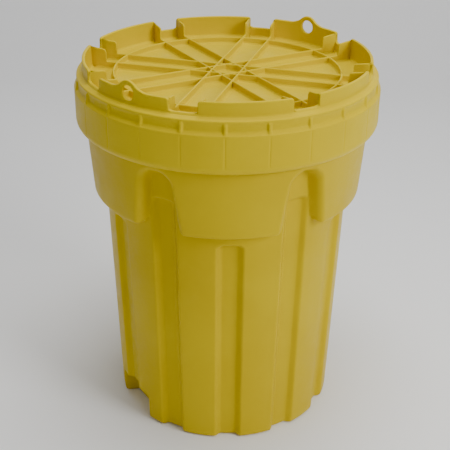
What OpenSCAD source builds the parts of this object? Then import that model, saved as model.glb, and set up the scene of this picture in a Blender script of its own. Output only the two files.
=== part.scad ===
// Screw-lid overpack salvage drum: a tapered, one-piece moulded drum with a threaded neck,
// a one-piece moulded screw lid with a castellated turning wall, and the gasket between them.
// Millimetres, +Z up, origin at the centre of the base. Angles are measured about +Z,
// from the front (-Y) towards +X.

/* [Drum] */
// Outside radius of the ridges at the base
base_r = 221; // [215:1:226]
// Outside radius of the ridges where the shoulder lobes start
ridge_top_r = 236; // [230:1:240]
// Thickness of the drum's wall and floor
drum_wall = 5; // [4:0.5:6]
// Radius of the rounded edge round the base
base_round = 8; // [4:1:12]
// Turn of the drum's ribbed pattern about its axis
drum_turn = 2; // [-15:1:15]

/* [Grooves] */
// Width of a groove at its mouth, two grooves for each lobe
groove_w = 48; // [42:1:54]
// Width of a groove's flat floor
groove_floor_w = 34; // [28:1:40]
// Depth of a groove
groove_d = 10.5; // [7:0.5:12]
// Height of the upper end of the grooves under the lobes
short_groove_top = 447; // [400:1:455]
// Height of the upper end of the grooves between the lobes
long_groove_top = 526; // [480:1:540]

/* [Hand pockets] */
// Distance of a hand pocket's flat back wall from the axis
pocket_back = 191; // [186:1:200]
// Width of a hand pocket at its back wall
pocket_w = 96; // [80:1:110]
// Height of a hand pocket above the floor
pocket_h = 57; // [40:1:70]
// Spread of a pocket's side walls for each millimetre outwards
pocket_flare = 0.16; // [0.05:0.01:0.3]

/* [Shoulder lobes] */
// Number of lobes round the shoulder
lobe_count = 6; // [6:1:6]
// Height of the lobes' lower edge
lobe_bottom = 471; // [465:1:480]
// Outside radius of the lobes at their lower edge
lobe_r = 259; // [255:1:262]
// Outside radius of the shoulder band under the lid
band_r = 268.4; // [266:0.2:269]
// Radius of the lobes' lower edge
lobe_round = 5; // [3:1:8]
// Half width of the valley between two lobes, at the lobes' lower edge
valley_half_bottom = 39; // [34:1:46]
// Half width of the valley where its arched top starts, and the radius of the arch
valley_half_top = 26; // [22:0.5:30]
// Height at which the valley's arched top starts
arch_z = 560; // [545:1:564]

/* [Neck and thread] */
// Height of the ledge where the neck starts
ledge_z = 606; // [604:1:608]
// Outside radius of the neck
neck_r = 262; // [261:0.5:262.5]
// Height of the neck's rim
rim_z = 673.7; // [670:0.1:673.7]
// Rise of the thread in one turn
thread_lead = 48; // [40:1:56]
// Number of thread starts
thread_starts = 2; // [1:1:2]
// Outside radius of the drum's thread
neck_thread_r = 270; // [268:0.5:270]
// Inside radius of the lid's thread
lid_thread_r = 265.5; // [264.5:0.5:266.5]
// Turn that each thread ridge runs through
thread_sweep = 285; // [200:5:300]

/* [Lid] */
// Outside diameter of the lid's skirt
lid_d = 573; // [571:1:577]
// Height of the skirt's lower edge
skirt_bottom = 602.3; // [601:0.1:603]
// Radius of the skirt's rounded lower edge
skirt_round = 15; // [10:1:16]
// Thickness of the skirt
skirt_wall = 7; // [6:0.5:7.5]
// Inside radius of the lip at the skirt's lower edge
lip_r = 271.2; // [271:0.1:271.4]
// Height of the lid's flat deck
deck_z = 686; // [685:1:688]
// Thickness of the deck
deck_t = 6; // [5:0.5:6]
// Radius of the vertical band above the skirt
bead_r = 281; // [279:0.5:283]
// Number of small ribs round the band
bead_ribs = 24; // [12:4:36]
// Width of a small rib
bead_rib_w = 6; // [4:0.5:8]

/* [Turning wall] */
// Outside radius of the turning wall
wall_r = 269.5; // [267:0.5:271]
// Thickness of the turning wall
wall_t = 6; // [5:0.5:7]
// Height of the turning wall's top edge
wall_top = 727.5; // [720:0.5:730]
// Number of notches for a turning bar
notch_count = 8; // [8:1:8]
// Width of a notch
notch_w = 50; // [40:1:56]
// Height of the notches' floor
notch_z = 706; // [703:1:712]
// Turn of the lid's pattern about its axis when the lid is closed
lid_turn = -15.6; // [-22:0.1:22]
// Diameter of the hole in each ear
ear_hole_d = 26.4; // [20:0.2:28]
// Height of the ear holes' centre
ear_hole_z = 722; // [720:1:726]
// Radius of the top of an ear, about its hole
ear_r = 21.4; // [19:0.2:23]

/* [Deck ribs] */
// Height of the deck ribs' top edge
rib_top = 698.5; // [692:0.5:702]
// Thickness of a deck rib
rib_t = 4; // [3:0.5:6]
// Distance from the axis at which the gusset at a rib's end starts
gusset_r = 233; // [225:1:245]
// Height of a gusset's inner end
gusset_z = 722; // [712:1:725]
// Radius of the ring rib's middle
ring_rib_r = 213; // [190:1:225]

/* [Gasket] */
// Inside radius of the gasket
gasket_in_r = 252; // [248:1:254]
// Outside radius of the gasket
gasket_out_r = 266; // [264:1:268]
// Gap left above and below the gasket
gasket_gap = 0.3; // [0.2:0.1:0.5]

/* [Hidden] */
$fn = 96;
moulded_yellow = "gold";
gasket_grey = "dimgray";
eps = 0.02;
big = 300;                                  // past the outside of everything, measured from the axis
lid_r = lid_d / 2;
deck_under = deck_z - deck_t;
neck_in_r = neck_r - drum_wall;
bead_z = [673.5, 681, 699, 702];            // skirt top, band bottom, band top, foot of the wall
notch_step = 360 / notch_count;
ear_angles = [lid_turn - notch_step / 2, lid_turn - notch_step / 2 + 180];
pocket_angles = [drum_turn - 60, drum_turn + 120];
groove_lean = atan((ridge_top_r - base_r) / lobe_bottom);
thread_low_z = 617;                         // middle of the drum's thread at its lower end
thread_offset = 10.5;                       // how far the lid's thread lies below the drum's
thread_step = 7.5;
run_out = 4;                                // steps over which a thread ridge rises to full height
thread_root = 2;                            // how far a thread ridge is sunk in its wall
gasket_z = [rim_z + gasket_gap, deck_under - gasket_gap];

// Turns its children so that +X points at an angle measured from the front (-Y)
module facing(angle) rotate([0, 0, angle - 90]) children();

// Radius of the ridges at a height
function ridge_r(z) = base_r + (ridge_top_r - base_r) * z / lobe_bottom;

// Points of an arc in the r-z plane
function arc(centre, r, a0, a1, n = 6) =
    [for (i = [0:n]) let (a = a0 + (a1 - a0) * i / n) centre + r * [cos(a), sin(a)]];

// Solid cone of the drum's ridges up to the shoulder, shrunk by a wall thickness
module ridge_cone(off) {
    corner = [base_r - off - base_round, off + base_round];
    rotate_extrude()
        polygon(concat(
            [[0, off]],
            arc(corner, base_round, -90, 0),
            [[ridge_r(ledge_z - off) - off, ledge_z - off], [0, ledge_z - off]]));
}

// Full ring that the lobes are cut from, shrunk by a wall thickness
module shoulder_band(off) {
    low = lobe_bottom + off;
    edge = [lobe_r - off - lobe_round, low + lobe_round];
    rotate_extrude()
        polygon(concat(
            [[0, low]],
            arc(edge, lobe_round, -90, 0),
            [[band_r - off, skirt_bottom - off], [band_r - off, ledge_z - off], [0, ledge_z - off]]));
}

// Arch-topped outline of the valley between two lobes, in x (across) and y (up)
module valley_outline(off) {
    half_low = valley_half_bottom + off;
    half_high = valley_half_top + off;
    union() {
        polygon([[-half_low, lobe_bottom - 1], [half_low, lobe_bottom - 1],
                 [half_high, arch_z], [-half_high, arch_z]]);
        translate([0, arch_z]) circle(half_high);
    }
}

// Cutter for one valley, along +X
module valley(off)
    translate([neck_in_r / 2, 0, 0])
        rotate([90, 0, 90])
            linear_extrude(big - neck_in_r / 2) valley_outline(off);

// Cutter for one groove, along +X, leaning with the wall
module groove(top, off) {
    floor_r = base_r - groove_d - off;
    flare = (groove_w - groove_floor_w) / 2 / groove_d;
    reach = groove_d + off + 8;
    half = groove_floor_w / 2 + off;
    translate([floor_r, 0, 0])
        rotate([0, groove_lean, 0])
            translate([0, 0, -20])
                linear_extrude(top + 20 + off)
                    polygon([[0, -half], [reach, -half - flare * reach],
                             [reach, half + flare * reach], [0, half]]);
}

// Cutter for one hand pocket at the base, along +X
module hand_pocket(off) {
    reach = base_r - pocket_back + off + 20;
    half = pocket_w / 2 + off;
    translate([pocket_back - off, 0, -1])
        linear_extrude(pocket_h + off + 1)
            polygon([[0, -half], [reach, -half - pocket_flare * reach],
                     [reach, half + pocket_flare * reach], [0, half]]);
}

// The drum's solid form below the neck, shrunk by a wall thickness
module drum_form(off) {
    step = 360 / lobe_count;
    difference() {
        union() {
            ridge_cone(off);
            difference() {
                shoulder_band(off);
                for (i = [0:lobe_count - 1]) facing(drum_turn + step * (i + 0.5)) valley(off);
            }
        }
        for (i = [0:lobe_count - 1]) {
            facing(drum_turn + step * (i + 0.5)) groove(long_groove_top, off);
            facing(drum_turn + step * i)
                intersection() {
                    groove(short_groove_top, off);
                    cylinder(h = lobe_bottom - 2 * lobe_round, r = big);
                }
        }
        for (a = pocket_angles) facing(a) hand_pocket(off);
    }
}

// One helical ridge from r_root to r_crest, w_root and w_crest wide, starting at angle a0
module thread_ridge(r_root, r_crest, w_root, w_crest, z0, a0) {
    n = thread_sweep / thread_step;
    rise = thread_lead / 360;
    points = [for (i = [0:n])
        let (a = i * thread_step,
             full = min(1, (i + 0.5) / run_out, (n - i + 0.5) / run_out),
             crest = r_root + (r_crest - r_root) * full,
             z = z0 + a * rise)
        for (p = [[r_root, -w_root], [crest, -w_crest], [crest, w_crest], [r_root, w_root]])
            [p[0] * sin(a0 + a), -p[0] * cos(a0 + a), z + p[1] / 2]];
    sides = [for (i = [0:n - 1], k = [0:3])
        let (a = 4 * i + k, b = 4 * i + (k + 1) % 4)
        each [[a, b, b + 4], [a, b + 4, a + 4]]];
    ends = [[0, 2, 1], [0, 3, 2], [4 * n, 4 * n + 1, 4 * n + 2], [4 * n, 4 * n + 2, 4 * n + 3]];
    polyhedron(points, concat(r_root < r_crest ? sides : [for (f = sides) [f[0], f[2], f[1]]],
                              r_root < r_crest ? ends : [for (f = ends) [f[0], f[2], f[1]]]));
}

// The drum: one hollow moulding, from its floor to its threaded neck
module drum_body() color(moulded_yellow) {
    difference() {
        union() {
            drum_form(0);
            translate([0, 0, ledge_z - drum_wall]) cylinder(h = rim_z - ledge_z + drum_wall, r = neck_r);
            for (i = [0:thread_starts - 1])
                thread_ridge(neck_r - thread_root, neck_thread_r, 16, 6, thread_low_z,
                             360 / thread_starts * i);
        }
        drum_form(drum_wall);
        translate([0, 0, ledge_z - drum_wall - eps]) cylinder(h = big, r = neck_in_r);
    }
}

// Revolved outline of the lid without its turning wall
module lid_shell() {
    inner_r = lid_r - skirt_wall;
    fillet = [lid_r - skirt_round, skirt_bottom + skirt_round];
    rotate_extrude()
        polygon(concat(
            [[0, deck_z], [wall_r - wall_t / 2, deck_z], [wall_r - wall_t / 2, bead_z[3] + 3],
             [wall_r, bead_z[3] + 3], [wall_r + 3, bead_z[3]], [bead_r - 2, bead_z[2]],
             [bead_r, bead_z[2] - 2], [bead_r, bead_z[1]], [lid_r, bead_z[0]]],
            arc(fillet, skirt_round, 0, -90, 8),
            [[lip_r, skirt_bottom], [lip_r, skirt_bottom + 5], [inner_r, skirt_bottom + 12],
             [inner_r, bead_z[0] - 6], [inner_r - 6, bead_z[0]], [inner_r - 8, deck_under],
             [0, deck_under]]));
}

// Outline of an ear above the wall's top edge, in x (across) and y (up)
module ear_outline()
    polygon(concat(
        [[-2 * ear_r, wall_top - 1], [2 * ear_r, wall_top - 1]],
        arc([0, ear_hole_z], ear_r, 40, 140, 10)));

// Plain ring of the turning wall between two heights
module wall_ring(z0, z1)
    translate([0, 0, z0])
        difference() {
            cylinder(h = z1 - z0, r = wall_r);
            translate([0, 0, -1]) cylinder(h = z1 - z0 + 2, r = wall_r - wall_t);
        }

// Castellated wall with its notches and its two eared segments
module turning_wall() {
    difference() {
        union() {
            wall_ring(deck_under + 1, wall_top);
            for (a = ear_angles)
                intersection() {
                    wall_ring(wall_top - 1, wall_top + ear_r);
                    facing(a) translate([neck_in_r - 10, 0, 0])
                        rotate([90, 0, 90]) linear_extrude(40) ear_outline();
                }
        }
        for (i = [0:notch_count - 1])
            facing(lid_turn + notch_step * i)
                translate([neck_in_r - 10, -notch_w / 2, notch_z]) cube([40, notch_w, 60]);
        for (a = ear_angles)
            facing(a) translate([neck_in_r - 10, 0, ear_hole_z])
                rotate([0, 90, 0]) cylinder(h = 40, d = ear_hole_d);
    }
}

// Side outline of a straight rib with its two gussets, in x (along) and y (up)
module rib_outline() {
    half = [[gusset_r - 2, rib_top], [gusset_r, gusset_z - 4], [gusset_r + 4, gusset_z],
            [wall_r, wall_top - 0.5]];
    polygon(concat(
        [[-wall_r, deck_z - 1], [wall_r, deck_z - 1]],
        [for (i = [3:-1:0]) half[i]],
        [for (p = half) [-p[0], p[1]]]));
}

// Straight ribs in parallel pairs beside the notches, and the ring rib
module deck_ribs() {
    rib_h = rib_top - deck_z + 1;
    intersection() {
        union() {
            for (i = [0:notch_count / 2 - 1], side = [-1, 1])
                facing(lid_turn + notch_step * i)
                    translate([0, side * (notch_w + rib_t) / 2 + rib_t / 2, 0])
                        rotate([90, 0, 0]) linear_extrude(rib_t) rib_outline();
            translate([0, 0, deck_z - 1])
                difference() {
                    cylinder(h = rib_h, r = ring_rib_r + rib_t / 2);
                    translate([0, 0, -1]) cylinder(h = rib_h + 2, r = ring_rib_r - rib_t / 2);
                }
        }
        cylinder(h = big * 3, r = wall_r - wall_t + 1);
    }
}

// Small vertical ribs across the band above the skirt
module band_ribs() {
    proud = 3;
    for (i = [0:bead_ribs - 1])
        facing(lid_turn + 360 / bead_ribs * i)
            translate([bead_r - proud, -bead_rib_w / 2, bead_z[0] - 3])
                cube([2 * proud, bead_rib_w, bead_z[2] - bead_z[0] - 2]);
}

// The lid: one moulding with its skirt, thread, deck ribs and turning wall
module lid() color(moulded_yellow) {
    union() {
        lid_shell();
        turning_wall();
        deck_ribs();
        band_ribs();
        for (i = [0:thread_starts - 1])
            thread_ridge(lid_r - skirt_wall + thread_root, lid_thread_r, 18, 5,
                         thread_low_z + thread_offset, 360 / thread_starts * i);
    }
}

// Flat sealing ring between the drum's rim and the lid's deck
module lid_gasket() color(gasket_grey)
    translate([0, 0, gasket_z[0]])
        difference() {
            cylinder(h = gasket_z[1] - gasket_z[0], r = gasket_out_r);
            translate([0, 0, -1]) cylinder(h = gasket_z[1] - gasket_z[0] + 2, r = gasket_in_r);
        }

drum_body();
lid();
lid_gasket();
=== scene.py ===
"""Screw-lid overpack salvage drum: moulded meshes, materials, light and camera round the CAD frame."""
import math

import bpy
import numpy as np
from mathutils import Matrix, Vector


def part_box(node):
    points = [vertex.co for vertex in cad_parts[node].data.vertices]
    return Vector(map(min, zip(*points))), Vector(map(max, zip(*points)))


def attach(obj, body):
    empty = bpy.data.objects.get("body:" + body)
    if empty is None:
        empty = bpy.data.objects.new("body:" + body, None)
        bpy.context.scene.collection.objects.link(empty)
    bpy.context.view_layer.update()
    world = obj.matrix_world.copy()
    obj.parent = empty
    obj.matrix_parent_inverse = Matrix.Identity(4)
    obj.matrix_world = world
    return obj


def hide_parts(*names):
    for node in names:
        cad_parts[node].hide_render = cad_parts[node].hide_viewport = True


MM = 0.001
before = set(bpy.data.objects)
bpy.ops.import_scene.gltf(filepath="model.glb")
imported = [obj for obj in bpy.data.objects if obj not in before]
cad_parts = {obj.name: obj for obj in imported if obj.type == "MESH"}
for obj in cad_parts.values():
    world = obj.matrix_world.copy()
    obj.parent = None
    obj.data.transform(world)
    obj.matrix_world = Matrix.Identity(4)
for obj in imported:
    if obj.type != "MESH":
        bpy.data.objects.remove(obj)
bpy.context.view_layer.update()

# ---------------------------------------------------------------- driving sizes, in millimetres

BASE_R, RIDGE_TOP_R, BASE_ROUND = 221.0, 236.0, 8.0
DRUM_WALL = 5.0
DRUM_TURN = 2.0
LOBES = 6
LOBE_BOTTOM, LOBE_R, LOBE_ROUND, LOBE_CORNER = 471.0, 259.0, 5.0, 13.0
LOBE_FOOT, LOBE_EDGE = 4.0, 17.0
BAND_R = 268.4
VALLEY_HALF_LOW, VALLEY_HALF_HIGH, ARCH_Z = 39.0, 26.0, 560.0
GROOVE_HALF, GROOVE_D, GROOVE_SIDE, GROOVE_END = 20.5, 10.5, 6.2, 3.4
SHORT_GROOVE_TOP, LONG_GROOVE_TOP = 447.0, 526.0
POCKET_TURN, POCKET_BACK, POCKET_HALF, POCKET_TOP = DRUM_TURN - 60.0, 191.0, 53.0, 57.0
LEDGE_Z, NECK_R = 606.0, 262.0
RIM_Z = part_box("drum_body")[1].z / MM
THREAD_LEAD, THREAD_STARTS, THREAD_SWEEP, THREAD_LOW = 48.0, 2, 285.0, 617.0
NECK_THREAD_R, LID_THREAD_R, THREAD_OFFSET = 270.0, 265.5, 10.5

LID_R = 286.5
SKIRT_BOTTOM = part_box("lid")[0].z / MM
LID_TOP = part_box("lid")[1].z / MM
SKIRT_ROUND, SKIRT_WALL, LIP_R = 15.0, 7.0, 271.2
DECK_Z, DECK_T = 686.0, 6.0
BEAD_R = 281.0
BAND_LOW, BAND_FOOT, BAND_TOP, WALL_FOOT = 673.5, 681.0, 699.0, 702.0
BAND_RIBS, BAND_RIB_W = 24, 6.0
WALL_R, WALL_T, WALL_TOP = 269.5, 6.0, 727.5
NOTCHES, NOTCH_W, NOTCH_Z = 8, 50.0, 706.0
LID_TURN = -15.6
EAR_Z, EAR_R, EAR_HOLE_R = 722.0, 21.4, 13.2
RIB_TOP, RIB_T, RING_R = 698.5, 4.0, 213.0
GUSSET_R, GUSSET_Z = 233.0, 722.0
GASKET_IN, GASKET_OUT = 252.0, 266.0


# ---------------------------------------------------------------- small maths

def smooth(t):
    """0 to 1 with flat ends."""
    t = np.clip(t, 0.0, 1.0)
    return t * t * (3.0 - 2.0 * t)


def wrapped(angle, centre, period):
    """Signed angle from the nearest of the centres spaced by period."""
    return (angle - centre + period / 2) % period - period / 2


def arc(r0, z0, radius, a0, a1, n):
    """Points of an arc in the r-z plane, both ends included."""
    angles = np.radians(np.linspace(a0, a1, n))
    return [(r0 + radius * math.cos(a), z0 + radius * math.sin(a)) for a in angles]


def columns(marks, fine, coarse):
    """Angles round the axis: fine steps inside each (centre, half width) mark and coarse steps elsewhere."""
    out, a = [], 0.0
    while a < 360.0 - 1e-6:
        out.append(a)
        near = any(abs(wrapped(a + fine / 2, c, 360.0)) < half for c, half in marks)
        a += fine if near else coarse
    return np.array(out)


# ---------------------------------------------------------------- mesh building

def new_object(name, verts, faces, material, smooth_shaded=True):
    mesh = bpy.data.meshes.new(name)
    mesh.from_pydata([tuple(v) for v in verts], [], faces)
    mesh.validate()
    obj = bpy.data.objects.new(name, mesh)
    bpy.context.scene.collection.objects.link(obj)
    mesh.materials.append(material)
    if smooth_shaded:
        mesh.polygons.foreach_set("use_smooth", [True] * len(mesh.polygons))
    mesh.update()
    return obj


def loft(name, angles, r, z, material, closed=False):
    """Skin over the grid r[row, column], z[row, column].

    A row at r = 0 becomes one point, and closed joins the last row to the first.
    """
    rows, cols = r.shape
    a = np.radians(angles)[None, :]
    xyz = np.stack([r * np.sin(a), -r * np.cos(a), z], -1) * MM
    verts, index = [], np.zeros((rows, cols), int)
    for i in range(rows):
        if r[i].max() < 1e-6:
            index[i] = len(verts)
            verts.append(xyz[i, 0])
        else:
            index[i] = len(verts) + np.arange(cols)
            verts.extend(xyz[i])
    faces = []
    for i in range(rows if closed else rows - 1):
        low, high = index[i], index[(i + 1) % rows]
        for j in range(cols):
            k = (j + 1) % cols
            quad = [low[j], low[k], high[k], high[j]]
            face = [int(q) for n, q in enumerate(quad) if q not in quad[:n]]
            if len(face) > 2:
                faces.append(face)
    return new_object(name, verts, faces, material)


def weighted_normals(obj):
    mod = obj.modifiers.new("even_shading", "WEIGHTED_NORMAL")
    mod.keep_sharp = True
    mod.weight = 60


def apply_modifiers(obj):
    """Bakes the object's modifiers into its mesh."""
    depsgraph = bpy.context.evaluated_depsgraph_get()
    mesh = bpy.data.meshes.new_from_object(obj.evaluated_get(depsgraph), depsgraph=depsgraph)
    obj.modifiers.clear()
    obj.data = mesh


def join(name, parts):
    bpy.ops.object.select_all(action="DESELECT")
    for p in parts:
        p.select_set(True)
    bpy.context.view_layer.objects.active = parts[0]
    bpy.ops.object.join()
    parts[0].name = name
    parts[0].data.name = name
    return parts[0]


# ---------------------------------------------------------------- the drum's form

def ridge_r(z):
    return BASE_R + (RIDGE_TOP_R - BASE_R) * z / LOBE_BOTTOM


def band_r(z):
    return LOBE_R + (BAND_R - LOBE_R) * np.clip((z - LOBE_BOTTOM) / (SKIRT_BOTTOM - LOBE_BOTTOM), 0.0, 1.0)


def groove_share(across, z, top):
    """1 in a groove's floor and 0 outside it, with sloped walls and a rounded upper end."""
    u = (np.abs(across) - GROOVE_HALF) / GROOVE_SIDE
    v = (z - top + 2.0) / GROOVE_END
    d = np.hypot(np.maximum(u + 2.0, 0.0), np.maximum(v + 2.0, 0.0)) - 2.0
    return smooth(0.5 - 0.5 * d)


def lobe_share(across, z):
    """0 in the valley between two lobes and 1 on a lobe."""
    slope = (VALLEY_HALF_LOW - VALLEY_HALF_HIGH) / (ARCH_Z - LOBE_BOTTOM)
    half = VALLEY_HALF_LOW - slope * (z - LOBE_BOTTOM)
    side = (np.abs(across) - half) / math.hypot(1.0, slope)
    arch = np.hypot(across, z - ARCH_Z) - VALLEY_HALF_HIGH
    t = np.clip((np.where(z < ARCH_Z, side, arch) + LOBE_FOOT) / LOBE_EDGE, 0.0, 1.0)
    return (1.0 - (1.0 - t) ** 2.4) * smooth(t / 0.25)


def corner_lift(angle):
    """How far a lobe's lower edge rises towards its rounded corners."""
    step = 360.0 / LOBES
    across = np.abs(np.radians(wrapped(angle, DRUM_TURN, step))) * LOBE_R
    half = math.radians(step / 2) * LOBE_R - VALLEY_HALF_LOW
    over = np.clip((across - (half - LOBE_CORNER)) / LOBE_CORNER, 0.0, 1.0)
    return LOBE_CORNER * (1.0 - np.sqrt(1.0 - over * over)) * 0.85


def pocket_share(angle, z):
    """1 inside a hand pocket at the base and 0 outside it."""
    across = np.abs(np.radians(wrapped(angle, POCKET_TURN, 180.0))) * BASE_R
    u = (across - POCKET_HALF) / 3.0
    v = (z - POCKET_TOP) / 2.6
    d = np.hypot(np.maximum(u + 2.5, 0.0), np.maximum(v + 2.5, 0.0)) - 2.5
    return smooth(0.5 - 0.5 * d)


def drum_outer(angle, z, full):
    """Outer radius of the drum's wall; full is the radius a whole lobe has at this row."""
    step = 360.0 / LOBES
    mid = (RIDGE_TOP_R + BAND_R) / 2
    from_valley = np.radians(wrapped(angle, DRUM_TURN + step / 2, step))
    from_lobe = np.radians(wrapped(angle, DRUM_TURN, step))
    ridge = ridge_r(z)
    r = ridge + (full - ridge) * lobe_share(from_valley * mid, z)
    cut = groove_share(from_valley * ridge, z, LONG_GROOVE_TOP)
    cut = cut + groove_share(from_lobe * ridge, z, SHORT_GROOVE_TOP)
    r = r - GROOVE_D * cut
    turn = np.radians(wrapped(angle, POCKET_TURN, 180.0))
    back = np.minimum(POCKET_BACK / np.maximum(np.cos(turn), 0.5), r)
    return r + (back - r) * pocket_share(angle, z)


def thread_share(angle, z, low, w_root, w_crest):
    """0 on the plain wall and 1 on a thread's crest."""
    out = np.zeros(np.broadcast(angle, z).shape)
    for start in range(THREAD_STARTS):
        along = (angle - 360.0 / THREAD_STARTS * start) % 360.0
        ends = smooth(along / 30.0) * smooth((THREAD_SWEEP - along) / 30.0)
        centre = low + THREAD_LEAD * along / 360.0
        off = np.abs(z - centre)
        ridge = smooth((w_root / 2 - off) / ((w_root - w_crest) / 2))
        out = np.maximum(out, ridge * ends)
    return out


def drum_rows():
    """Rows of the drum's outer face up to the ledge, as pairs of a height and the radius of a whole lobe.

    Below the lobes that radius is nan, or minus the growth of the ridges where they turn out into a lobe.
    """
    rows = []
    heights = [np.linspace(12, 48, 5), np.arange(50, 65, 1.0), np.linspace(68, 424, 12)]
    for z in np.concatenate(heights + [np.arange(428, 462, 1.7)]):
        rows.append((z, np.nan))
    for d in (9.0, 6.5, 4.6, 3.0, 1.8, 0.9):
        growth = 5.0 - math.sqrt(25.0 - (5.0 - d) ** 2) if d < 5.0 else 0.0
        rows.append((LOBE_BOTTOM - d, -growth if growth else np.nan))
    edge = LOBE_R - LOBE_ROUND
    rows.append((LOBE_BOTTOM - 0.2, edge - 9.0))
    for r, z in arc(edge, LOBE_BOTTOM + LOBE_ROUND, LOBE_ROUND, -90, 0, 6):
        rows.append((z, r))
    heights = [np.arange(478, 524, 4.0), np.arange(524, 552, 2.0), np.arange(552, 598, 1.6)]
    for z in np.concatenate(heights + [np.linspace(600, LEDGE_Z - 2, 3)]):
        rows.append((z, float(band_r(z))))
    return rows


def drum_body(material):
    step = 360.0 / LOBES
    marks = []
    for i in range(LOBES):
        for side in (-1, 1):
            # the walls of the grooves and the sides of the valleys
            marks.append((DRUM_TURN + step * i + side * 5.2, 1.9))
            marks.append((DRUM_TURN + step * (i + 0.5) + side * 7.8, 4.4))
    edge = math.degrees(POCKET_HALF / BASE_R) + np.linspace(-1.5, 1.5, 9)
    edges = [POCKET_TURN + half + side * edge for half in (0.0, 180.0) for side in (-1, 1)]
    angles = np.unique(np.round(np.concatenate([columns(marks, 0.55, 1.8)] + edges) % 360.0, 2))
    lift = corner_lift(angles)
    r_rows, z_rows = [np.zeros(len(angles))], [np.zeros(len(angles))]

    def add(r, z):
        r_rows.append(np.broadcast_to(r, angles.shape).astype(float))
        z_rows.append(np.broadcast_to(z, angles.shape).astype(float))

    def groove_cut(z):
        return drum_outer(angles, np.full(len(angles), z), ridge_r(z)) - ridge_r(z)

    # flat base, then the rounded edge
    for r in (60.0, 120.0, 170.0):
        add(r, 0.0)
    for r, z in arc(BASE_R - BASE_ROUND, BASE_ROUND, BASE_ROUND, -90, 0, 7):
        add(r + groove_cut(z), z)
    for z, full in drum_rows():
        fall = np.clip(1.0 - abs(z - LOBE_BOTTOM) / 22.0, 0.0, 1.0)
        zz = z + lift * smooth(fall)
        if np.isnan(full):
            whole = ridge_r(zz)
        elif full < 0:
            whole = ridge_r(zz) - full
        else:
            whole = np.full(len(angles), full)
        add(drum_outer(angles, zz, whole), zz)
    # shoulder, neck with its thread, rim
    for r, z in [(BAND_R - 0.6, LEDGE_Z - 0.8), (BAND_R - 2.0, LEDGE_Z), (NECK_R + 1.4, LEDGE_Z + 0.1),
                 (NECK_R + 0.3, LEDGE_Z + 0.8)]:
        add(r, z)
    for z in np.arange(LEDGE_Z + 2.0, RIM_Z - 3.0, 1.9):
        share = thread_share(angles, np.full(len(angles), z), THREAD_LOW, 16.0, 6.0)
        add(NECK_R + (NECK_THREAD_R - NECK_R) * share, z)
    for r, z in arc(NECK_R - 2.5, RIM_Z - 2.5, 2.5, 0, 180, 9):
        add(r, z)
    # inner face, following the outer one
    neck_in = NECK_R - DRUM_WALL
    for z in (RIM_Z - 8.0, 640.0, LEDGE_Z):
        add(neck_in, z)
    for z in (602, 598, 594, 588, 580, 570, 556, 540, 520, 500, 482, 478, 476, 473, 468, 456, 450, 444, 430,
              330, 220, 110, 72, 67, 65, 64, 63, 62, 61, 60, 59, 57, 53, 24):
        zs = np.full(len(angles), z - DRUM_WALL, float)
        whole = band_r(zs) if z - DRUM_WALL > LOBE_BOTTOM else ridge_r(zs)
        add(np.minimum(drum_outer(angles, zs, whole) - DRUM_WALL, BAND_R - DRUM_WALL), z)
    for r, z in arc(BASE_R - DRUM_WALL - BASE_ROUND, DRUM_WALL + BASE_ROUND, BASE_ROUND, 0, -90, 5):
        add(r + groove_cut(z), z)
    add(110.0, DRUM_WALL)
    add(0.0, DRUM_WALL)
    obj = loft("drum_moulding", angles, np.array(r_rows), np.array(z_rows), material)
    weighted_normals(obj)
    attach(obj, "drum")
    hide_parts("drum_body")
    return obj


# ---------------------------------------------------------------- the lid's form

def from_notch(angles):
    """Distance along the wall from the middle of the nearest notch, in millimetres."""
    return np.abs(np.sin(np.radians(wrapped(angles, LID_TURN, 360.0 / NOTCHES)))) * WALL_R


def wall_height(angles):
    """Top of the turning wall, without its end rounding."""
    ear = LID_TURN - 180.0 / NOTCHES
    across = np.abs(np.radians(wrapped(angles, ear, 180.0))) * WALL_R
    cap = np.sqrt(np.maximum(EAR_R ** 2 - across ** 2, 0.0)) + EAR_Z
    skirt = WALL_TOP + 12.5 * smooth(1.0 - across / 46.0) ** 1.35
    cap = np.where(across < EAR_R, cap, 0.0)
    blend = 2.2
    top = np.logaddexp(np.maximum(cap, WALL_TOP - 6.0) / blend, skirt / blend) * blend
    return np.minimum(np.where(across < 60.0, np.maximum(top - 0.4, WALL_TOP), WALL_TOP), LID_TOP)


def lid_columns():
    """Angles of the lid's columns, with close pairs at each notch edge."""
    half = math.degrees(math.asin(NOTCH_W / 2 / WALL_R))
    pitch = 360.0 / NOTCHES
    out = []
    for i in range(NOTCHES):
        centre = LID_TURN + pitch * i
        out += list(centre + np.linspace(-half, half, 9))
        gaps = np.degrees(np.array([0.0, 0.35, 0.9, 1.7, 2.8, 4.2, 6.0]) / WALL_R)
        out += list(centre + half + gaps)
        out += list(centre + pitch - half - gaps)
        out += list(np.linspace(centre + half + gaps[-1], centre + pitch - half - gaps[-1], 18)[1:-1])
    for i in range(BAND_RIBS):
        centre = LID_TURN + 360.0 / BAND_RIBS * i
        offsets = np.array([0.6, 1.4, 2.4, 3.4, 4.6, 6.2])
        for side in (-1, 1):
            out += list(centre + side * np.degrees(offsets / BEAD_R))
        out.append(centre)
    for side in (0.0, 180.0):
        out += list(LID_TURN - pitch / 2 + side + np.linspace(-13.0, 13.0, 61))
    out = np.sort(np.array(out) % 360.0)
    keep = [out[0]]
    for a in out[1:]:
        if a - keep[-1] > 0.045:
            keep.append(a)
    return np.array(keep)


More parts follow.
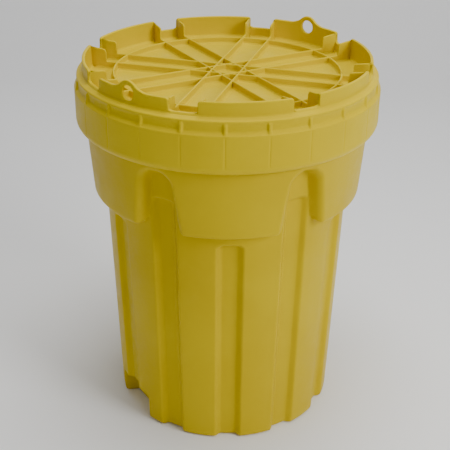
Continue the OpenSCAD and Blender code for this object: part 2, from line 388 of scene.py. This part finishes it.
def lid_shell(material):
    """Skirt, band, shoulder, turning wall and deck as one moulding."""
    base = lid_columns()
    half = NOTCH_W / 2
    inside = from_notch(base) < half - 0.02
    # a notch's end faces stand between two columns at the same angle
    angles, in_notch = [], []
    for i, a in enumerate(base):
        nxt = inside[(i + 1) % len(base)]
        if not inside[i] and inside[i - 1]:
            angles.append(a - 1e-4)
            in_notch.append(True)
        angles.append(a)
        in_notch.append(bool(inside[i]))
        if not inside[i] and nxt:
            angles.append(a + 1e-4)
            in_notch.append(True)
    angles, in_notch = np.array(angles), np.array(in_notch)
    n = len(angles)
    past = np.maximum(from_notch(angles) - half, 0.0)
    corner = np.clip(past / 6.0, 0.0, 1.0)
    top = wall_height(angles) - 5.0 * (1.0 - np.sqrt(1.0 - (1.0 - corner) ** 2))
    floor_dip = 2.2 * smooth((from_notch(angles) - (half - 3.5)) / 3.5) * in_notch
    top = np.where(in_notch, NOTCH_Z + floor_dip, top)
    thin = np.where(in_notch, 0.0, 1.6 * (1.0 - np.sqrt(1.0 - (1.0 - np.clip(past / 1.7, 0.0, 1.0)) ** 2)))
    edge = np.where(in_notch, 1.6, 2.0)

    rib = np.abs(np.radians(wrapped(angles, LID_TURN, 360.0 / BAND_RIBS))) * BEAD_R
    rib_share = smooth((BAND_RIB_W / 2 + 1.3 - rib) / 2.6)
    line_share = smooth((1.9 - rib) / 1.3)
    r_rows, z_rows = [], []

    def add(r, z):
        r_rows.append(np.broadcast_to(r, (n,)).astype(float))
        z_rows.append(np.broadcast_to(z, (n,)).astype(float))

    # deck, with a fillet up to the wall
    inner = WALL_R - WALL_T
    add(0.0, DECK_Z)
    for r in (70.0, 140.0, 205.0, 240.0):
        add(r, DECK_Z)
    for r, z in arc(inner - 6.5, DECK_Z + 6.0, 6.0, -90, -8, 6):
        add(r, z)
    # inner face of the turning wall, its rounded top edge and its outer face
    upper = WALL_TOP - WALL_FOOT
    for s in (0.0, 0.12, 0.5, 0.97):
        z = NOTCH_Z - 3.0 + (top - edge - NOTCH_Z + 3.0) * s
        add(inner + 0.4 * (z - DECK_Z) / upper - 0.4 + thin * smooth((z - NOTCH_Z + 1.0) / 3.0), z)
    for t in np.radians(np.linspace(180, 90, 5)):
        add(inner + edge + thin + edge * np.cos(t), top - edge + edge * np.sin(t))
    for t in np.radians(np.linspace(90, 0, 5)):
        add(WALL_R - edge - thin + edge * np.cos(t), top - edge + edge * np.sin(t))
    for s in (0.97, 0.5, 0.12, 0.0):
        z = NOTCH_Z - 2.0 + (top - edge - NOTCH_Z + 2.0) * s
        add(WALL_R + 0.5 * (WALL_TOP - z) / upper - thin * smooth((z - NOTCH_Z + 1.0) / 3.0), z)
    # fillet down to the sloping shoulder, rounded bead, band with its ribs, ledge
    for r, z in arc(WALL_R + 3.6, WALL_FOOT + 2.4, 2.6, 180, 262, 6):
        add(r, z)
    add(BEAD_R - 6.0, BAND_TOP + 1.3)
    for r, z in arc(BEAD_R - 2.6, BAND_TOP - 2.4, 3.0, 82, -20, 8):
        add(r, z)
    proud = BEAD_R + (LID_R - 2.6 - BEAD_R) * rib_share
    add(BEAD_R - 0.6 + (proud - BEAD_R), 692.5)
    add(BEAD_R - 1.0 + (proud - BEAD_R) * 1.08, 690.5)
    add(BEAD_R - 1.0 + (proud - BEAD_R) * 1.15, 686.0)
    add(BEAD_R - 1.0 + (proud - BEAD_R) * 1.22, BAND_FOOT + 1.6)
    add(BEAD_R - 0.2 + (proud - BEAD_R) * 1.20, BAND_FOOT - 0.4)
    add(BEAD_R + 1.0 + (proud - BEAD_R) * 1.0, BAND_FOOT - 1.6)
    add(LID_R - 2.4 + 0.9 * rib_share, BAND_LOW + 3.4)
    for r, z in arc(LID_R - 2.6, BAND_LOW + 0.2, 2.6, 55, 0, 4):
        add(r, z)
    for z in np.linspace(BAND_LOW - 3.0, SKIRT_BOTTOM + SKIRT_ROUND + 1.0, 6):
        add(LID_R - 0.6 * line_share, z)
    for r, z in arc(LID_R - SKIRT_ROUND, SKIRT_BOTTOM + SKIRT_ROUND, SKIRT_ROUND, -3, -84, 9):
        add(r, z)
    # lip and inner face with its thread
    for r, z in arc(LIP_R + 1.6, SKIRT_BOTTOM + 1.7, 1.6, -100, -180, 4):
        add(r, z)
    add(LIP_R, SKIRT_BOTTOM + 5.0)
    wall_in = LID_R - SKIRT_WALL
    add(wall_in - 2.0, SKIRT_BOTTOM + 10.0)
    for z in np.arange(SKIRT_BOTTOM + 12.5, BAND_LOW - 6.0, 2.2):
        share = thread_share(angles, np.full(n, z), THREAD_LOW + THREAD_OFFSET, 18.0, 5.0)
        add(wall_in - (wall_in - LID_THREAD_R) * share, z)
    add(wall_in - 0.5, BAND_LOW - 4.0)
    add(wall_in - 5.5, BAND_LOW + 0.5)
    add(wall_in - 8.0, DECK_Z - DECK_T - 2.0)
    add(wall_in - 10.0, DECK_Z - DECK_T)
    for r in (240.0, 140.0, 60.0):
        add(r, DECK_Z - DECK_T)
    add(0.0, DECK_Z - DECK_T)
    return loft("lid_shell", angles, np.array(r_rows)[::-1], np.array(z_rows)[::-1], material)


def drill_ears(shell, material):
    """Cuts the chamfered hole through each ear."""
    for k in (0, 1):
        a = math.radians(LID_TURN - 180.0 / NOTCHES + 180.0 * k)
        profile = [(EAR_HOLE_R + 5.5, -8.5), (EAR_HOLE_R, -2.2), (EAR_HOLE_R, 2.0), (EAR_HOLE_R + 5.5, 8.3)]
        turns = 48
        verts, faces = [], []
        mid = WALL_R - WALL_T / 2
        out = Vector((math.sin(a), -math.cos(a), 0.0))
        side = Vector((math.cos(a), math.sin(a), 0.0))
        for rad, along in profile:
            for j in range(turns):
                t = 2 * math.pi * j / turns
                up = Vector((0.0, 0.0, EAR_Z + rad * math.sin(t)))
                p = out * (mid + along) + side * (rad * math.cos(t)) + up
                verts.append(p * MM)
        for i in range(len(profile) - 1):
            for j in range(turns):
                after = (j + 1) % turns
                low, high = i * turns, (i + 1) * turns
                faces.append([low + j, low + after, high + after, high + j])
        faces.append(list(range(turns))[::-1])
        faces.append([(len(profile) - 1) * turns + j for j in range(turns)])
        cutter = new_object("ear_cutter", verts, faces, material)
        cut = shell.modifiers.new("ear_hole", "BOOLEAN")
        cut.operation = "DIFFERENCE"
        cut.solver = "EXACT"
        cut.object = cutter
        apply_modifiers(shell)
        bpy.data.objects.remove(cutter)


def rib_section(top):
    """Section of a deck rib with a filleted foot and a rounded top."""
    half = RIB_T / 2
    left = [(-half - 3.0, DECK_Z - 2.0), (-half - 3.0, DECK_Z + 0.05), (-half - 1.3, DECK_Z + 0.6),
            (-half - 0.4, DECK_Z + 2.0), (-half, DECK_Z + 4.2), (-half, top - 2.4), (-half + 0.2, top - 1.3),
            (-half + 0.6, top - 0.5), (-half + 1.2, top - 0.1), (-0.4, top)]
    return left + [(-x, z) for x, z in left[::-1]]


def straight_rib(index, angle, side, material):
    """One straight deck rib from notch to notch, rising into a gusset against the wall at each end."""
    reach = math.sqrt((WALL_R - 3.0) ** 2 - (NOTCH_W / 2 + RIB_T) ** 2)
    marks = [0.0, GUSSET_R - 2.6, GUSSET_R - 1.4, GUSSET_R - 0.6, GUSSET_R, GUSSET_R + 0.9, GUSSET_R + 2.3,
             GUSSET_R + 4.5, GUSSET_R + 16.0, reach]
    tops = [RIB_TOP, RIB_TOP, RIB_TOP + 1.0, RIB_TOP + 5.5, GUSSET_Z - 5.0, GUSSET_Z - 2.2, GUSSET_Z - 0.7,
            GUSSET_Z, GUSSET_Z + 1.4, WALL_TOP - 1.9]
    ends = np.array(marks[1:])
    stations = np.concatenate([-ends[::-1], np.linspace(-220.0, 220.0, 21), ends])
    a = math.radians(angle)
    out = np.array([math.sin(a), -math.cos(a), 0.0])
    across = np.array([math.cos(a), math.sin(a), 0.0])
    middle = side * (NOTCH_W + RIB_T) / 2
    verts, faces = [], []
    for s in stations:
        section = rib_section(float(np.interp(abs(s), marks, tops)) - 0.05 * (index + 1))
        for x, z in section:
            p = out * s + across * (middle + x)
            verts.append((p[0] * MM, p[1] * MM, z * MM))
    count = len(section)
    for i in range(len(stations) - 1):
        for j in range(count):
            k = (j + 1) % count
            faces.append([i * count + j, (i + 1) * count + j, (i + 1) * count + k, i * count + k])
    faces.append(list(range(count)))
    faces.append([(len(stations) - 1) * count + j for j in range(count)][::-1])
    return new_object("deck_rib", verts, faces, material)


def ring_rib(material):
    section = rib_section(RIB_TOP - 0.6)
    angles = np.arange(0.0, 360.0, 2.0)
    r = np.array([[RING_R - x] * len(angles) for x, _ in section])
    z = np.array([[h] * len(angles) for _, h in section])
    return loft("ring_rib", angles, r, z, material, closed=True)


def lid(material):
    shell = lid_shell(material)
    drill_ears(shell, material)
    parts = [shell, ring_rib(material)]
    index = 0
    for i in range(NOTCHES // 2):
        for side in (-1, 1):
            parts.append(straight_rib(index, LID_TURN + 360.0 / NOTCHES * i, side, material))
            index += 1
    obj = join("lid_moulding", parts)
    weighted_normals(obj)
    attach(obj, "lid")
    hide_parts("lid")
    return obj


def gasket(material):
    low, high = (c.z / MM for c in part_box("lid_gasket"))
    edge = 1.4
    section = []
    for r, z, a0 in [(GASKET_OUT - edge, high - edge, 0), (GASKET_IN + edge, high - edge, 90),
                     (GASKET_IN + edge, low + edge, 180), (GASKET_OUT - edge, low + edge, 270)]:
        section += arc(r, z, edge, a0, a0 + 90, 5)
    angles = np.arange(0.0, 360.0, 1.5)
    r = np.array([[p[0]] * len(angles) for p in section])
    z = np.array([[p[1]] * len(angles) for p in section])
    obj = loft("gasket_ring", angles, r, z, material, closed=True)
    weighted_normals(obj)
    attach(obj, "gasket_ring")
    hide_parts("lid_gasket")
    return obj


# ---------------------------------------------------------------- materials

def new_material(name):
    mat = bpy.data.materials.new(name)
    mat.use_nodes = True
    nodes, links = mat.node_tree.nodes, mat.node_tree.links
    nodes.clear()
    out = nodes.new("ShaderNodeOutputMaterial")
    shader = nodes.new("ShaderNodeBsdfPrincipled")
    links.new(shader.outputs["BSDF"], out.inputs["Surface"])
    return mat, nodes, links, shader


def noise(nodes, links, vector, scale, detail=4.0, roughness=0.5):
    tex = nodes.new("ShaderNodeTexNoise")
    tex.inputs["Scale"].default_value = scale
    tex.inputs["Detail"].default_value = detail
    tex.inputs["Roughness"].default_value = roughness
    links.new(vector, tex.inputs["Vector"])
    return tex.outputs["Fac"]


def ramp(nodes, links, value, low, high, out_low=0.0, out_high=1.0):
    node = nodes.new("ShaderNodeMapRange")
    node.interpolation_type = "SMOOTHSTEP"
    for name, v in (("From Min", low), ("From Max", high), ("To Min", out_low), ("To Max", out_high)):
        node.inputs[name].default_value = v
    links.new(value, node.inputs["Value"])
    return node.outputs["Result"]


def mix_colour(nodes, links, share, a, b):
    node = nodes.new("ShaderNodeMix")
    node.data_type = "RGBA"
    links.new(share, node.inputs["Factor"])
    for socket, value in ((node.inputs[6], a), (node.inputs[7], b)):
        if isinstance(value, tuple):
            socket.default_value = value
        else:
            links.new(value, socket)
    return node.outputs[2]


def maths(nodes, links, operation, a, b):
    node = nodes.new("ShaderNodeMath")
    node.operation = operation
    for socket, value in zip(node.inputs, (a, b)):
        if isinstance(value, (int, float)):
            socket.default_value = value
        else:
            links.new(value, socket)
    return node.outputs[0]


def polyethylene(name, colour, deep, rough, grain):
    """Moulded polyethylene: soft colour drift, fine mould grain, faint scuffs and dust."""
    mat, nodes, links, shader = new_material(name)
    place = nodes.new("ShaderNodeTexCoord").outputs["Object"]
    drift = noise(nodes, links, place, 5.0, 3.0)
    cloud = noise(nodes, links, place, 38.0, 5.0, 0.6)
    fine = noise(nodes, links, place, 900.0, 2.0, 0.6)
    pits = noise(nodes, links, place, 260.0, 3.0, 0.55)
    stretched = nodes.new("ShaderNodeMapping")
    stretched.inputs["Scale"].default_value = (1.0, 1.0, 0.16)
    links.new(place, stretched.inputs["Vector"])
    scuff = noise(nodes, links, stretched.outputs["Vector"], 210.0, 6.0, 0.72)
    share = ramp(nodes, links, drift, 0.36, 0.66)
    base = mix_colour(nodes, links, share, colour, deep)
    dusty = ramp(nodes, links, cloud, 0.52, 0.78, 0.0, 0.10)
    base = mix_colour(nodes, links, dusty, base, (0.68, 0.53, 0.03, 1.0))
    marks = ramp(nodes, links, scuff, 0.69, 0.78, 0.0, 0.16)
    base = mix_colour(nodes, links, marks, base, (0.72, 0.58, 0.05, 1.0))
    links.new(base, shader.inputs["Base Color"])
    uneven = ramp(nodes, links, cloud, 0.3, 0.7, rough - 0.05, rough + 0.07)
    worn = ramp(nodes, links, scuff, 0.62, 0.8, 0.0, 0.12)
    links.new(maths(nodes, links, "ADD", uneven, worn), shader.inputs["Roughness"])
    height = maths(nodes, links, "ADD", maths(nodes, links, "MULTIPLY", fine, grain),
                   maths(nodes, links, "MULTIPLY", pits, grain * 1.6))
    height = maths(nodes, links, "ADD", height, maths(nodes, links, "MULTIPLY", cloud, grain * 3.0))
    bump = nodes.new("ShaderNodeBump")
    bump.inputs["Strength"].default_value = 0.55
    bump.inputs["Distance"].default_value = 0.0009
    links.new(height, bump.inputs["Height"])
    links.new(bump.outputs["Normal"], shader.inputs["Normal"])
    shader.inputs["IOR"].default_value = 1.5
    shader.inputs["Specular IOR Level"].default_value = 0.20
    shader.inputs["Specular Tint"].default_value = (1.0, 0.78, 0.08, 1.0)
    return mat


def rubber(name):
    mat, nodes, links, shader = new_material(name)
    place = nodes.new("ShaderNodeTexCoord").outputs["Object"]
    cells = noise(nodes, links, place, 700.0, 4.0, 0.65)
    cloud = noise(nodes, links, place, 30.0, 4.0)
    base = mix_colour(nodes, links, cloud, (0.035, 0.035, 0.036, 1.0), (0.075, 0.074, 0.072, 1.0))
    links.new(base, shader.inputs["Base Color"])
    links.new(ramp(nodes, links, cloud, 0.3, 0.7, 0.72, 0.9), shader.inputs["Roughness"])
    bump = nodes.new("ShaderNodeBump")
    bump.inputs["Strength"].default_value = 0.6
    bump.inputs["Distance"].default_value = 0.0006
    links.new(cells, bump.inputs["Height"])
    links.new(bump.outputs["Normal"], shader.inputs["Normal"])
    return mat


# ---------------------------------------------------------------- stage, light and camera

def stage():
    mat, nodes, links, shader = new_material("pale_floor")
    place = nodes.new("ShaderNodeTexCoord").outputs["Object"]
    tone = noise(nodes, links, place, 1.5, 2.0)
    base = mix_colour(nodes, links, tone, (0.90, 0.90, 0.90, 1.0), (0.93, 0.93, 0.93, 1.0))
    links.new(base, shader.inputs["Base Color"])
    shader.inputs["Roughness"].default_value = 0.9
    size, rise, bend, depth = 6.0, 5.0, 1.2, 3.2
    path = [(-size, 0.0), (depth - bend, 0.0)]
    for t in np.linspace(0.1, math.pi / 2, 10):
        path.append((depth - bend + bend * math.sin(t), bend - bend * math.cos(t)))
    path.append((depth, rise))
    verts, faces = [], []
    for y, z in path:
        verts += [(-size, y, z - 0.0005), (size, y, z - 0.0005)]
    for i in range(len(path) - 1):
        faces.append([2 * i, 2 * i + 1, 2 * i + 3, 2 * i + 2])
    floor = new_object("floor", verts, faces, mat)


def area_light(name, place, target, size, power, colour=(1.0, 1.0, 1.0)):
    data = bpy.data.lights.new(name, "AREA")
    data.shape = "RECTANGLE"
    data.size, data.size_y = size
    data.energy = power
    data.color = colour
    obj = bpy.data.objects.new(name, data)
    obj.location = place
    obj.rotation_euler = (Vector(target) - Vector(place)).to_track_quat("-Z", "Y").to_euler()
    bpy.context.scene.collection.objects.link(obj)


def lights():
    world = bpy.data.worlds.new("studio")
    world.use_nodes = True
    sky = world.node_tree.nodes["Background"]
    sky.inputs["Color"].default_value = (1.0, 1.0, 1.0, 1.0)
    sky.inputs["Strength"].default_value = 0.30
    bpy.context.scene.world = world
    aim = (0.0, 0.0, 0.5)
    area_light("key", (2.1, -1.6, 1.9), aim, (1.1, 1.1), 52.0)
    area_light("fill", (-2.4, -1.8, 1.5), aim, (2.0, 2.0), 1.5)
    area_light("top", (0.2, 0.1, 3.2), aim, (1.8, 1.8), 66.0)


def camera():
    """The photograph's camera: its distance, height, downward pitch and slight roll."""
    distance, height, lens, pitch, yaw, roll = 1.6816, 1.2354, 74.24, 27.30, -0.06, 0.60
    data = bpy.data.cameras.new("camera")
    data.sensor_width = 36.0
    data.lens = lens
    obj = bpy.data.objects.new("camera", data)
    p, y = math.radians(pitch), math.radians(yaw)
    forward = Vector((math.sin(y) * math.cos(p), math.cos(y) * math.cos(p), -math.sin(p)))
    turn = forward.to_track_quat("-Z", "Y").to_matrix().to_4x4()
    place = Matrix.Translation((0.0, -distance, height))
    obj.matrix_world = place @ turn @ Matrix.Rotation(math.radians(roll), 4, "Z")
    bpy.context.scene.collection.objects.link(obj)
    bpy.context.scene.camera = obj


# ---------------------------------------------------------------- the scene

drum_yellow = polyethylene("drum_yellow", (0.60, 0.440, 0.0, 1.0), (0.56, 0.400, 0.0, 1.0), 0.42, 0.35)
lid_yellow = polyethylene("lid_yellow", (0.66, 0.495, 0.0, 1.0), (0.62, 0.455, 0.0, 1.0), 0.40, 0.30)
drum_body(drum_yellow)
lid(lid_yellow)
gasket(rubber("gasket_black"))
stage()
lights()
camera()
